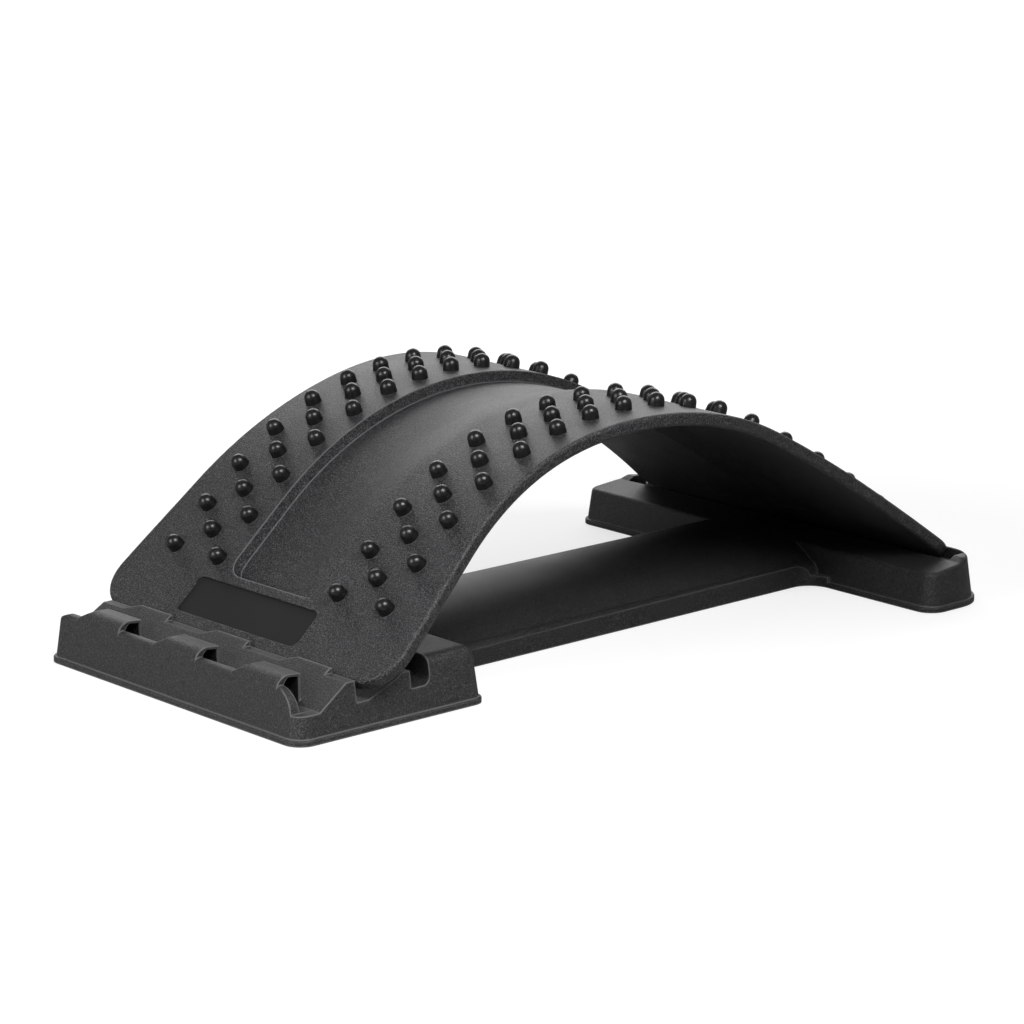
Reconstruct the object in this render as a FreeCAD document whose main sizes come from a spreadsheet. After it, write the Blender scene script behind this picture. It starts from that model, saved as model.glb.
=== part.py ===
import FreeCAD, Part
import math
import os
import Sketcher
from FreeCAD import Placement, Rotation, Vector

# Driving sizes of the stretcher, in millimetres and degrees.
# "Across" runs from the adjuster foot's outer edge towards the far foot, "up" from the floor,
# and "half" is a distance from the middle plane.
SIZES = {
    # Side profile of the board's top face: a straight run, a tight crown and a long flat tail
    "board_start_across": 33.2,
    "board_start_up": 20.8,
    "straight_run": 71.8,
    "straight_slope": 41.5,
    "crown_radius": 163.4,
    "crown_turn": 68.95,
    "tail_radius": 661.0,
    "tail_turn": 11.25,
    "board_wall": 6.0,
    "board_rim_radius": 1.6,
    "board_corner_radius": 18.0,
    "board_far_corner_radius": 11.0,
    # Plan of the board, as half widths from its near end to its far end
    "near_half": 99.8,
    "shoulder_half": 95.0,
    "flank_half": 89.0,
    "waist_half": 85.8,
    "back_half": 89.8,
    "loin_half": 91.8,
    "tail_half": 94.6,
    "tip_half": 102.6,
    # Spine channel, off centre: a steep wall on the left and a soft slope on the right
    "channel_end_margin": 30.0,
    "channel_left_half": 31.0,
    "channel_right_half": 27.5,
    "channel_wall_lean": 1.0,
    "channel_depth": 5.0,
    "channel_corner_radius": 9.0,
    "bulge_proud": 3.5,
    "bulge_margin": 3.0,
    "bulge_lean": 3.5,
    # Bare label recess near the board's near end
    "label_wide": 82.5,
    "label_high": 19.0,
    "label_deep": 0.8,
    "label_corner_radius": 4.0,
    "label_gap": 4.5,
    "label_shift": 3.5,
    # Massage nubs
    "nub_base_radius": 3.75,
    "nub_neck_radius": 3.45,
    "nub_neck_high": 2.5,
    "nub_high": 5.9,
    "nub_spigot_radius": 1.5,
    "nub_spigot_long": 2.4,
    "nub_seat_deep": 0.3,
    "nub_fit_gap": 0.05,
    "crown_row_pitch": 19.2,
    "rows_end_margin": 35.8,
    "inner_column_half": 41.3,
    "outer_column_half": 70.2,
    # Adjuster foot
    "block_length": 101.6,
    "block_half": 88.0,
    "block_top": 25.0,
    "block_outer_radius": 8.5,
    "block_inner_radius": 7.0,
    "block_edge_radius": 5.0,
    "foot_draft": 8.0,
    "lip_out": 0.9,
    "lip_high": 2.5,
    "lip_edge_radius": 0.7,
    "wall_top": 22.0,
    "wall_rear": 7.5,
    "wall_edge_radius": 2.4,
    "wall_corner_radius": 8.0,
    "notch_floor": 12.5,
    "notch_ramp_start": 14.0,
    "ridge_two_front": 28.5,
    "ridge_two_top": 22.0,
    "slot_two_floor": 13.0,
    "slot_two_ramp_start": 39.0,
    "seat_half": 60.0,
    "seat_lean": 0.4,
    "seat_reach": 1.5,
    "ridge_three_top": 20.7,
    "ridge_three_rear": 61.9,
    "slot_three_floor": 13.3,
    "slot_three_end": 72.0,
    "slot_three_corner": 3.5,
    "drop_start_half": 68.0,
    "drop_end_half": 80.2,
    "drop_radius": 12.0,
    "drop_step": 0.2,
    # Retaining tabs on the three rows
    "tab_wide": 30.0,
    "tab_pitch": 54.5,
    "tab_slope_long": 8.0,
    "tab_front_radius": 6.7,
    "tab_rear": 16.5,
    "tab_wall": 1.1,
    "tab_fall": 0.6,
    "tab_root": 20.0,
    "tab_hollow_deep": 20.0,
    "low_tab_radius": 3.0,
    "low_tab_run": 7.0,
    # Underside of the adjuster foot: ribbed cells and the slot for the tongue
    "cell_long": 34.0,
    "cell_wide": 30.0,
    "cell_pitch": 33.0,
    "block_cell_start": 22.0,
    "block_cell_top": 9.5,
    "tongue_long": 38.0,
    "tongue_half": 30.0,
    "tongue_top": 7.5,
    "catch_out": 0.8,
    "catch_long": 9.0,
    "catch_start": 12.0,
    "joint_gap": 0.1,
    # Beam
    "beam_near_half": 45.0,
    "beam_far_half": 42.5,
    "beam_crest": 23.5,
    "beam_shoulder_up": 10.9,
    "beam_shoulder_half": 40.5,
    "beam_brow_out": 5.0,
    "beam_brow_down": 5.5,
    "beam_brow_radius": 6.5,
    "beam_flare": 11.0,
    "beam_end_slope": 9.0,
    "beam_cell_start": 7.0,
    "beam_cell_long": 30.0,
    "beam_mid_cell_half": 13.0,
    "beam_mid_cell_top": 19.5,
    "beam_side_cell_inner": 16.5,
    "beam_side_cell_outer": 37.5,
    "beam_side_cell_top": 10.0,
    # Far foot
    "foot_deep": 43.0,
    "foot_half": 118.5,
    "foot_outer_radius": 22.0,
    "foot_inner_radius": 9.0,
    "foot_inner_top": 17.6,
    "foot_rim_top": 21.6,
    "foot_rim_wide": 9.0,
    "foot_edge_radius": 2.0,
    "rim_reach": 10.2,
    "trough_half": 107.0,
    "trough_floor_wide": 7.6,
    "trough_mouth_wide": 12.6,
    "trough_mouth_up": 19.8,
    "foot_cell_wall": 5.0,
    "foot_cell_top": 12.6,
    # Anti-slip pads
    "pad_long": 36.0,
    "pad_wide": 14.0,
    "pad_corner_radius": 4.0,
    "pad_thick": 2.0,
    "pad_proud": 0.3,
    "pad_near_margin": 12.0,
    "pad_inner_margin": 17.0,
    "near_pad_half": 58.0,
    "far_pad_half": 92.0,
    # Clearances and the overrun of every cut
    "swing_gap": 0.3,
    "overrun": 20.0,
}

# Rows of nubs on each side, and how the rows and columns spread towards the ends
NUB_ROWS = 16
CROWN_ROWS_SHARE = 3.0
INNER_START_SHARE = 4.2
INNER_SPREAD_SHARE = 0.044
OUTER_CENTRE_SHARE = 5.7
OUTER_CURVE_SHARE = 0.0029

# Where the named half widths stand, as shares of the board's plan length
PLAN_SHARES = {
    "near_half": 0.0,
    "shoulder_half": 0.093,
    "flank_half": 0.19,
    "waist_half": 0.34,
    "back_half": 0.49,
    "loin_half": 0.68,
    "tail_half": 0.89,
    "tip_half": 1.0,
}

# Points of the channel's soft floor, as shares of its right half width and of its depth
CHANNEL_FLOOR_SHARES = ((-0.72, 1.02), (-0.2, 1.0), (0.28, 0.74), (0.62, 0.28), (1.0, 0.0))

# How far right of the middle the bulge's floor reaches, as a share of the channel's right half width
BULGE_FLOOR_SHARE = 0.25

doc = FreeCAD.newDocument("BackStretcher")
sheet = doc.addObject("Spreadsheet::Sheet", "Sizes")


class Dim:
    """A size with its value and the spreadsheet expression that gives it."""

    def __init__(self, text, value):
        self.text = text
        self.value = value

    def combine(self, other, sign, value):
        other_text = other.text if isinstance(other, Dim) else repr(other)
        return Dim("(%s %s %s)" % (self.text, sign, other_text), value)

    def __add__(self, other):
        return self.combine(other, "+", self.value + plain(other))

    def __sub__(self, other):
        return self.combine(other, "-", self.value - plain(other))

    def __mul__(self, other):
        return self.combine(other, "*", self.value * plain(other))

    def __truediv__(self, other):
        return self.combine(other, "/", self.value / plain(other))

    def __neg__(self):
        return Dim("(0 - %s)" % self.text, -self.value)


def plain(number):
    return number.value if isinstance(number, Dim) else number


zero = Dim("0", 0)


class Book:
    """The spreadsheet's named sizes, each read as an attribute."""

    def __init__(self):
        self.row = 0

    def enter(self, name, value):
        self.row += 1
        sheet.set("A%d" % self.row, name)
        sheet.set("B%d" % self.row, "%.9g" % value)
        sheet.setAlias("B%d" % self.row, name)
        setattr(self, name, Dim("Sizes.%s" % name, value))


size = Book()
for entry, number in SIZES.items():
    size.enter(entry, number)


def radians(angle):
    return math.radians(plain(angle))


def direction(slope):
    """The direction along the board where its top face has this slope."""
    return Vector(math.cos(slope), 0, math.sin(slope))


def outward(slope):
    """The direction out of the board's top face where it has this slope."""
    return Vector(-math.sin(slope), 0, math.cos(slope))


class Arch:
    """The line of the board's top face in the middle plane."""

    def __init__(self):
        steep = radians(size.straight_slope)
        self.slopes = (steep, steep - radians(size.crown_turn))
        self.slopes += (self.slopes[1] - radians(size.tail_turn),)
        self.start = Vector(size.board_start_across.value, 0, size.board_start_up.value)
        self.bend = self.start + direction(steep) * size.straight_run.value
        self.crown_centre = self.bend - outward(steep) * size.crown_radius.value
        self.run_out = self.crown_centre + outward(self.slopes[1]) * size.crown_radius.value
        self.tail_centre = self.run_out - outward(self.slopes[1]) * size.tail_radius.value
        crown_long = size.crown_radius.value * radians(size.crown_turn)
        tail_long = size.tail_radius.value * radians(size.tail_turn)
        self.marks = (size.straight_run.value, size.straight_run.value + crown_long)
        self.length = self.marks[1] + tail_long

    def slope(self, run):
        """The slope of the top face at this run along the board."""
        if run <= self.marks[0]:
            return self.slopes[0]
        if run <= self.marks[1]:
            return self.slopes[0] - (run - self.marks[0]) / size.crown_radius.value
        return self.slopes[1] - (run - self.marks[1]) / size.tail_radius.value

    def point(self, run, depth=0):
        """The point at this run along the board and this depth below its top face."""
        slope = self.slope(run)
        if run <= self.marks[0]:
            surface = self.start + direction(slope) * run
        elif run <= self.marks[1]:
            surface = self.crown_centre + outward(slope) * size.crown_radius.value
        else:
            surface = self.tail_centre + outward(slope) * size.tail_radius.value
        return surface - outward(slope) * depth

    def place(self, run, side=0, depth=0):
        """A placement on the board with +X along it and +Z out of its top face."""
        turn = Rotation(Vector(0, 1, 0), -math.degrees(self.slope(run)))
        return Placement(self.point(run, depth) + Vector(0, side, 0), turn)

    def edges(self, depth):
        """The top face's line, or one parallel to it at a depth, as three edges."""
        first, second, third = 0, self.marks[0], self.marks[1]
        line = Part.LineSegment(self.point(first, depth), self.point(second, depth))
        crown = Part.Arc(*[self.point(run, depth) for run in (second, (second + third) / 2, third)])
        tail = Part.Arc(*[self.point(run, depth) for run in (third, (third + self.length) / 2, self.length)])
        return [line.toShape(), crown.toShape(), tail.toShape()]

    def sweep(self, section, start, end):
        """A solid whose section, drawn in the YZ plane, follows the board from start to end."""
        marks = [start] + [mark for mark in self.marks if start < mark < end] + [end]
        spans = []
        for first, last in zip(marks, marks[1:]):
            face = section.copy()
            face.Placement = self.place(first)
            if last <= self.marks[0]:
                spans.append(face.extrude(self.point(last) - self.point(first)))
            else:
                centre = self.crown_centre if last <= self.marks[1] else self.tail_centre
                turn = math.degrees(self.slope(first) - self.slope(last))
                spans.append(face.revolve(centre, Vector(0, 1, 0), turn))
        return spans[0].fuse(spans[1:]).removeSplitter()


arch = Arch()

# Places worked out from the driving sizes, entered in the same sheet.
half_wall = size.board_wall.value / 2
pivot = arch.point(arch.length - half_wall, half_wall)
nose_reach = (half_wall - size.board_rim_radius.value) * math.sqrt(2) + size.board_rim_radius.value
toe = arch.point(size.board_rim_radius.value, size.board_wall.value - size.board_rim_radius.value)
size.enter("pivot_across", pivot.x)
size.enter("pivot_up", pivot.z)
size.enter("nose_reach", nose_reach)
size.enter("toe_across", toe.x)
size.enter("toe_up", toe.z - size.board_rim_radius.value)
ramp_rise = size.ridge_two_top.value - size.notch_floor.value
ramp_angle = math.atan2(ramp_rise, size.ridge_two_front.value - size.notch_ramp_start.value)
size.enter("low_tab_round", size.low_tab_radius.value * math.sin(ramp_angle))
size.enter("low_tab_drop", size.low_tab_radius.value * (1 - math.cos(ramp_angle)))
draft_angle = math.radians(size.foot_draft.value)
size.enter("tab_front_run", size.tab_front_radius.value * math.cos(draft_angle))
size.enter("tab_front_rise", size.tab_front_radius.value * (1 - math.sin(draft_angle)))
doc.recompute()

far_edge = size.pivot_across + size.rim_reach
foot_inner = far_edge - size.foot_deep
slot_two_wall = size.board_start_across - size.swing_gap
seat_front = size.toe_across - size.seat_reach
seat_up = size.toe_up - size.swing_gap
ramp_slope = (size.ridge_two_top - size.notch_floor) / (size.ridge_two_front - size.notch_ramp_start)
low_tab_foot = size.low_tab_drop + (size.low_tab_run - size.low_tab_round) * ramp_slope
trough_floor = size.pivot_up - size.nose_reach - size.swing_gap
trough_wall = size.pivot_across + size.nose_reach + size.swing_gap
shift = -far_edge / 2
draft_rise = math.tan(radians(size.foot_draft))


def bind(item, name, value):
    item.setExpression(name, value.text)


def check_state(item):
    if "Invalid" in item.State or "Error" in item.State:
        raise RuntimeError("%s failed: %s" % (item.Name, item.getStatusString()))


def new_body(name, placed=True):
    """A body; one that is placed stands with the whole part's middle at the origin."""
    body = doc.addObject("PartDesign::Body", name)
    body.Label = name
    if placed:
        bind(body, "Placement.Base.x", shift)
    return body


def pin(sketch, spot, axis, value):
    """Holds one end of an edge at a named distance from the sketch's origin."""
    if plain(value) == 0:
        line = -2 if axis == "DistanceX" else -1
        sketch.addConstraint(Sketcher.Constraint("PointOnObject", *spot, line))
        return
    if plain(value) > 0:
        rule = Sketcher.Constraint(axis, -1, 1, *spot, plain(value))
    else:
        rule = Sketcher.Constraint(axis, *spot, -1, 1, -plain(value))
        value = -value
    index = sketch.addConstraint(rule)
    sketch.setExpression("Constraints[%d]" % index, value.text)


def arc_edge(start, end, radius, side):
    """An arc from start to end, and its centre to the left (side 1) or right (side -1)."""
    chord = end - start
    rise = math.sqrt(radius ** 2 - (chord.Length / 2) ** 2)
    centre = (start + end) / 2 + Vector(-chord.y, chord.x, 0).normalize() * rise * side
    first, last = (start, end) if side > 0 else (end, start)
    angles = [math.atan2(spot.y - centre.y, spot.x - centre.x) for spot in (first, last)]
    return Part.ArcOfCircle(Part.Circle(centre, Vector(0, 0, 1), radius), *angles)


def draw(sketch, points):
    """Draws a closed outline; a point's third and fourth entries make the next edge an arc."""
    corners = [Vector(plain(point[0]), plain(point[1]), 0) for point in points]
    spots = []
    for index, point in enumerate(points):
        start, end = corners[index], corners[(index + 1) % len(points)]
        if len(point) > 2:
            edge = sketch.addGeometry(arc_edge(start, end, point[2].value, point[3]))
            rule = sketch.addConstraint(Sketcher.Constraint("Radius", edge, point[2].value))
            sketch.setExpression("Constraints[%d]" % rule, point[2].text)
            spots.append(((edge, 1), (edge, 2)) if point[3] > 0 else ((edge, 2), (edge, 1)))
        else:
            edge = sketch.addGeometry(Part.LineSegment(start, end))
            spots.append(((edge, 1), (edge, 2)))
    for index, point in enumerate(points):
        begins, ended = spots[index][0], spots[index - 1][1]
        sketch.addConstraint(Sketcher.Constraint("Coincident", *ended, *begins))
        pin(sketch, begins, "DistanceX", point[0])
        pin(sketch, begins, "DistanceY", point[1])


def new_sketch(body, name, role, outlines, offset=None):
    """A sketch on one of the body's own planes, moved off it by a named offset."""
    sketch = body.newObject("Sketcher::SketchObject", name)
    plane = next(item for item in body.Origin.OriginFeatures if item.Role == role)
    sketch.AttachmentSupport = [(plane, "")]
    sketch.MapMode = "FlatFace"
    if offset is not None:
        bind(sketch, "AttachmentOffset.Base.z", offset)
    for points in outlines:
        draw(sketch, points)
    return sketch


def extrude(kind, body, name, sketch, length, symmetric=False, reverse=False, draft=None):
    """A pad or a pocket of a sketch; a pocket that removes nothing is an error."""
    before = body.Shape.Volume if body.Tip else 0
    feature = body.newObject("PartDesign::%s" % kind, name)
    feature.Profile = sketch
    bind(feature, "Length", length)
    feature.SideType = "Symmetric" if symmetric else "One side"
    feature.Reversed = reverse
    if draft is not None:
        bind(feature, "TaperAngle", -draft)
    doc.recompute()
    check_state(feature)
    change = body.Shape.Volume - before
    if (change <= 0) == (kind == "Pad") or change == 0:
        raise RuntimeError("%s changed the volume by %.3f" % (name, change))
    return feature


def pattern(body, name, feature, axis, step, count, reverse=False):
    """Copies of a feature along one of its sketch's axes, a named step apart."""
    before = body.Shape.Volume
    copies = body.newObject("PartDesign::LinearPattern", name)
    copies.Originals = [feature]
    copies.Direction = (feature.Profile[0], [axis])
    bind(copies, "Length", step * (count - 1))
    copies.Reversed = reverse
    copies.Occurrences = count
    body.Tip = copies
    doc.recompute()
    if abs(body.Shape.Volume - before) == 0:
        raise RuntimeError("%s changed nothing" % name)
    return copies


def round_edges(body, name, chosen, radius):
    """A fillet on the edges of the body's last feature that chosen picks."""
    base = body.Tip
    names = ["Edge%d" % (number + 1) for number, edge in enumerate(base.Shape.Edges) if chosen(edge)]
    if not names:
        raise RuntimeError("%s finds no edge" % name)
    fillet = body.newObject("PartDesign::Fillet", name)
    fillet.Base = (base, names)
    bind(fillet, "Radius", radius)
    doc.recompute()
    check_state(fillet)
    return fillet


def rectangle(left, right, low, high):
    return [(left, low), (right, low), (right, high), (left, high)]


def rounded(left, right, half, left_radius, right_radius):
    """A rectangle about the middle plane with round corners."""
    return [
        (left + left_radius, -half),
        (right - right_radius, -half, right_radius, 1),
        (right, right_radius - half),
        (right, half - right_radius, right_radius, 1),
        (right - right_radius, half),
        (left + left_radius, half, left_radius, 1),
        (left, half - left_radius),
        (left, left_radius - half, left_radius, 1),
    ]


def level(edge, up):
    """True for an edge that lies at this height."""
    near = size.joint_gap.value
    return abs(edge.BoundBox.ZMin - plain(up)) < near and abs(edge.BoundBox.ZMax - plain(up)) < near


def add_foot(body, left, right, half, top, left_radius, right_radius):
    """A foot with drafted walls, standing in a proud rounded lip."""
    lip = size.lip_out
    lift = size.pad_proud
    walls = rounded(left + lip, right - lip, half - lip, left_radius - lip, right_radius - lip)
    sketch = new_sketch(body, "wall_plan", "XY_Plane", [walls], lift)
    extrude("Pad", body, "walls", sketch, top - lift, draft=size.foot_draft)
    foot = rounded(left, right, half, left_radius, right_radius)
    sketch = new_sketch(body, "lip_plan", "XY_Plane", [foot], lift)
    extrude("Pad", body, "lip", sketch, size.lip_high)
    inside = plain(left + lip / 2)
    round_edges(body, "lip_edge",
                lambda e: level(e, lift + size.lip_high) and e.BoundBox.XMax < inside,
                size.lip_edge_radius)


def wall_line(edge, side, up):
    """The place of a drafted foot wall at a height, from its lip's outer edge; side is 1 or -1."""
    return edge - (size.lip_out + (up - size.pad_proud) * draft_rise) * side


def tongue_plan(grow):
    """The tongue's outline with its two catches, grown on every side by a clearance."""
    tip = size.block_length - size.tongue_long - grow
    catch = size.block_length - size.tongue_long + size.catch_start
    half = size.tongue_half + grow
    out = half + size.catch_out
    root = size.block_length + size.overrun
    catch_end = catch + size.catch_long + grow
    return [
        (tip, -half), (catch - grow, -half), (catch - grow, -out), (catch_end, -out),
        (catch_end, -half), (root, -half), (root, half), (catch_end, half), (catch_end, out),
        (catch - grow, out), (catch - grow, half), (tip, half),
    ]


def low_tab_top(rear, front, ridge):
    """The height of a tab whose front goes on up a ramp from a ridge and rounds over to the slot's wall."""
    return ridge + (rear - front) * ramp_slope + size.low_tab_drop - size.low_tab_round * ramp_slope


def tab_gaps(ridge, top):
    """The spaces between three tabs and beside them; each tab slopes down at its left end."""
    half, over = size.tab_wide / 2, size.overrun
    high = top + (top - ridge)
    outlines = []
    for number in range(4):
        low = -over - size.block_half if number == 0 else size.tab_pitch * (number - 2) + half
        left = size.block_half + over if number == 3 else size.tab_pitch * (number - 1) - half
        if number == 0:
            outlines.append(rectangle(low, left, ridge, high))
        else:
            sloped = low - size.tab_slope_long * 2
            outlines.append([(low, ridge), (left, ridge), (left, high), (sloped, high)])
    return outlines


def cut_tab_gaps(body, name, start, end, ridge, top):
    """Cuts a full ridge down to its own height between the tabs."""
    sketch = new_sketch(body, name + "_gap_plan", "YZ_Plane", tab_gaps(ridge, top), start)
    extrude("Pocket", body, name + "_gaps", sketch, end - start, reverse=True)


def add_outer_tabs(body):
    """Three humps that grow out of the outer wall's face, hollow from their right ends."""
    crest = wall_line(zero, -1, size.tab_root) + size.tab_front_run
    top, rear, wall = size.tab_root + size.tab_front_rise, size.tab_rear, size.tab_wall
    hump = [
        (crest - size.tab_front_run, size.tab_root, size.tab_front_radius, -1), (crest, top),
        (rear, top - size.tab_fall), (rear, size.notch_floor), (size.wall_rear, size.notch_floor),
        (size.wall_rear, size.tab_root),
    ]
    sketch = new_sketch(body, "outer_tab_profile", "XZ_Plane", [hump], size.tab_pitch)
    tab = extrude("Pad", body, "outer_tab", sketch, size.tab_wide, symmetric=True)
    pattern(body, "outer_tabs", tab, "N_Axis", size.tab_pitch, 3, reverse=True)
    slopes = []
    for step in (-1, 0, 1):
        end = size.tab_pitch * step + size.tab_wide / 2
        slopes.append([(end, size.wall_top), (end + size.tab_front_rise, size.wall_top),
                       (end + size.tab_front_rise, top + size.tab_fall),
                       (end - size.tab_slope_long, top + size.tab_fall)])
    sketch = new_sketch(body, "outer_slope_plan", "YZ_Plane", slopes, -size.overrun)
    extrude("Pocket", body, "outer_slopes", sketch, size.overrun + size.ridge_two_front, reverse=True)
    end = size.tab_pitch + size.tab_wide / 2
    hollow = [
        (crest, top - wall, size.tab_front_radius - wall, 1), (size.wall_rear, size.tab_root),
        (size.wall_rear, size.notch_floor), (rear - wall, size.notch_floor),
        (rear - wall, top - wall - size.tab_fall),
    ]
    sketch = new_sketch(body, "hollow_profile", "XZ_Plane", [hollow], end)
    pocket = extrude("Pocket", body, "hollow", sketch, size.tab_hollow_deep)
    pattern(body, "hollows", pocket, "N_Axis", size.tab_pitch, 3, reverse=True)


def make_adjuster_block():
    """The foot whose three notch rows hold the board's near end."""
    body = new_body("adjuster_block")
    length, half, over = size.block_length, size.block_half, size.overrun
    add_foot(body, zero, length, half, size.block_top, size.block_outer_radius, size.block_inner_radius)
    high = size.block_top + over
    top_two = low_tab_top(slot_two_wall, size.ridge_two_front, size.ridge_two_top)
    top_three = size.ridge_three_top + top_two - size.ridge_two_top
    foot_three, foot_three_up = size.ridge_three_rear - size.low_tab_run, top_three - low_tab_foot
    steps = [
        (-over, high), (-over, size.wall_top), (size.wall_rear, size.wall_top),
        (size.wall_rear, size.notch_floor), (size.notch_ramp_start, size.notch_floor),
        (slot_two_wall - size.low_tab_round, top_two - size.low_tab_drop, size.low_tab_radius, -1),
        (slot_two_wall, top_two), (slot_two_wall, size.slot_two_floor),
        (size.slot_two_ramp_start, size.slot_two_floor),
        (foot_three, foot_three_up),
        (size.ridge_three_rear - size.low_tab_round, top_three - size.low_tab_drop, size.low_tab_radius, -1),
        (size.ridge_three_rear, top_three), (size.ridge_three_rear, size.slot_three_floor),
        (size.slot_three_end - size.slot_three_corner, size.slot_three_floor, size.slot_three_corner, 1),
        (size.slot_three_end, size.slot_three_floor + size.slot_three_corner), (size.slot_three_end, high),
    ]
    sketch = new_sketch(body, "notch_profile", "XZ_Plane", [steps])
    extrude("Pocket", body, "notches", sketch, (half + over) * 2, symmetric=True)
    round_edges(body, "top_edges",
                lambda e: level(e, size.block_top) and e.CenterOfMass.x > size.slot_three_end.value,
                size.block_edge_radius)
    round_edges(body, "wall_edge",
                lambda e: level(e, size.wall_top) and e.BoundBox.XMin < plain(size.wall_rear - size.tab_wall),
                size.wall_edge_radius)
    drop_low = size.notch_floor - size.drop_step
    drop = [
        (-size.drop_start_half, size.wall_top + over),
        (-size.drop_start_half, size.wall_top, size.drop_radius, 1),
        (-size.drop_end_half, drop_low), (-half - over, drop_low), (-half - over, size.wall_top + over),
    ]
    wall_end, corner = wall_line(half, 1, size.wall_top), size.wall_corner_radius
    round_off = [
        (wall_end - corner, size.wall_top, corner, -1), (wall_end, size.wall_top - corner),
        (half + over, size.wall_top - corner), (half + over, size.wall_top + over),
        (wall_end - corner, size.wall_top + over),
    ]
    sketch = new_sketch(body, "corner_drop", "YZ_Plane", [drop, round_off], -over)
    extrude("Pocket", body, "open_corner", sketch, over + size.notch_ramp_start, reverse=True)
    cut_tab_gaps(body, "middle_tab", size.notch_ramp_start, size.slot_two_ramp_start,
                 size.ridge_two_top, top_two)
    cut_tab_gaps(body, "inner_tab", size.slot_two_ramp_start, size.slot_three_end,
                 size.ridge_three_top, top_three)
    ramp_share = (seat_up - size.slot_two_floor) / (foot_three_up - size.slot_two_floor)
    seat_end = size.slot_two_ramp_start + (foot_three - size.slot_two_ramp_start) * ramp_share
    seat = [
        (seat_front - size.seat_lean, size.slot_two_floor), (seat_end, size.slot_two_floor),
        (seat_end, seat_up), (seat_front, seat_up),
    ]
    sketch = new_sketch(body, "seat_profile", "XZ_Plane", [seat])
    extrude("Pad", body, "seat", sketch, size.seat_half * 2, symmetric=True)
    add_outer_tabs(body)

    cell = rectangle(size.block_cell_start, size.block_cell_start + size.cell_long,
                     -size.cell_pitch * 2 - size.cell_wide / 2, -size.cell_pitch * 2 + size.cell_wide / 2)
    sketch = new_sketch(body, "cell_plan", "XY_Plane", [cell])
    pocket = extrude("Pocket", body, "cell", sketch, size.block_cell_top, reverse=True)
    pattern(body, "cells", pocket, "V_Axis", size.cell_pitch, 5)
    sketch = new_sketch(body, "tongue_slot_plan", "XY_Plane", [tongue_plan(size.joint_gap)])
    extrude("Pocket", body, "tongue_slot", sketch, size.tongue_top + size.joint_gap, reverse=True)
    cut_pad_seats(body, near_pad_places())
    return body


def pad_plan(across, half, grow):
    """A pad's outline about a place under a foot, grown by a clearance; its long side runs across."""
    wide, long, corner = size.pad_wide / 2 + grow, size.pad_long / 2 + grow, size.pad_corner_radius + grow
    left, right, low, high = across - wide, across + wide, half - long, half + long
    return [
        (left + corner, low), (right - corner, low, corner, 1), (right, low + corner),
        (right, high - corner, corner, 1), (right - corner, high), (left + corner, high, corner, 1),
        (left, high - corner), (left, low + corner, corner, 1),
    ]


def near_pad_places():
    places = (size.pad_near_margin, size.block_length - size.pad_inner_margin)
    return [(across, half) for across in places for half in (size.near_pad_half, -size.near_pad_half)]


def far_pad_places():
    return [(far_edge - size.foot_deep / 2, half) for half in (size.far_pad_half, -size.far_pad_half)]


def cut_pad_seats(body, places):
    outlines = [pad_plan(across, half, size.joint_gap) for across, half in places]
    sketch = new_sketch(body, "pad_seat_plan", "XY_Plane", outlines)
    extrude("Pocket", body, "pad_seats", sketch, size.pad_thick, reverse=True)


def make_pads(name, places):
    """Like pads in one node, each face to face with the ceiling of its seat."""
    solids = []
    for number, (across, half) in enumerate(places):
        body = doc.addObject("PartDesign::Body", "%s_%d" % (name, number + 1))
        sketch = new_sketch(body, "%s_plan_%d" % (name, number + 1), "XY_Plane",
                            [pad_plan(across, half, zero)])
        extrude("Pad", body, "%s_block_%d" % (name, number + 1), sketch, size.pad_thick)
        solids.append(body)
    group = doc.addObject("Part::Compound", name)
    group.Label = name
    group.Links = solids
    bind(group, "Placement.Base.x", shift)
    doc.recompute()
    return group


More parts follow.
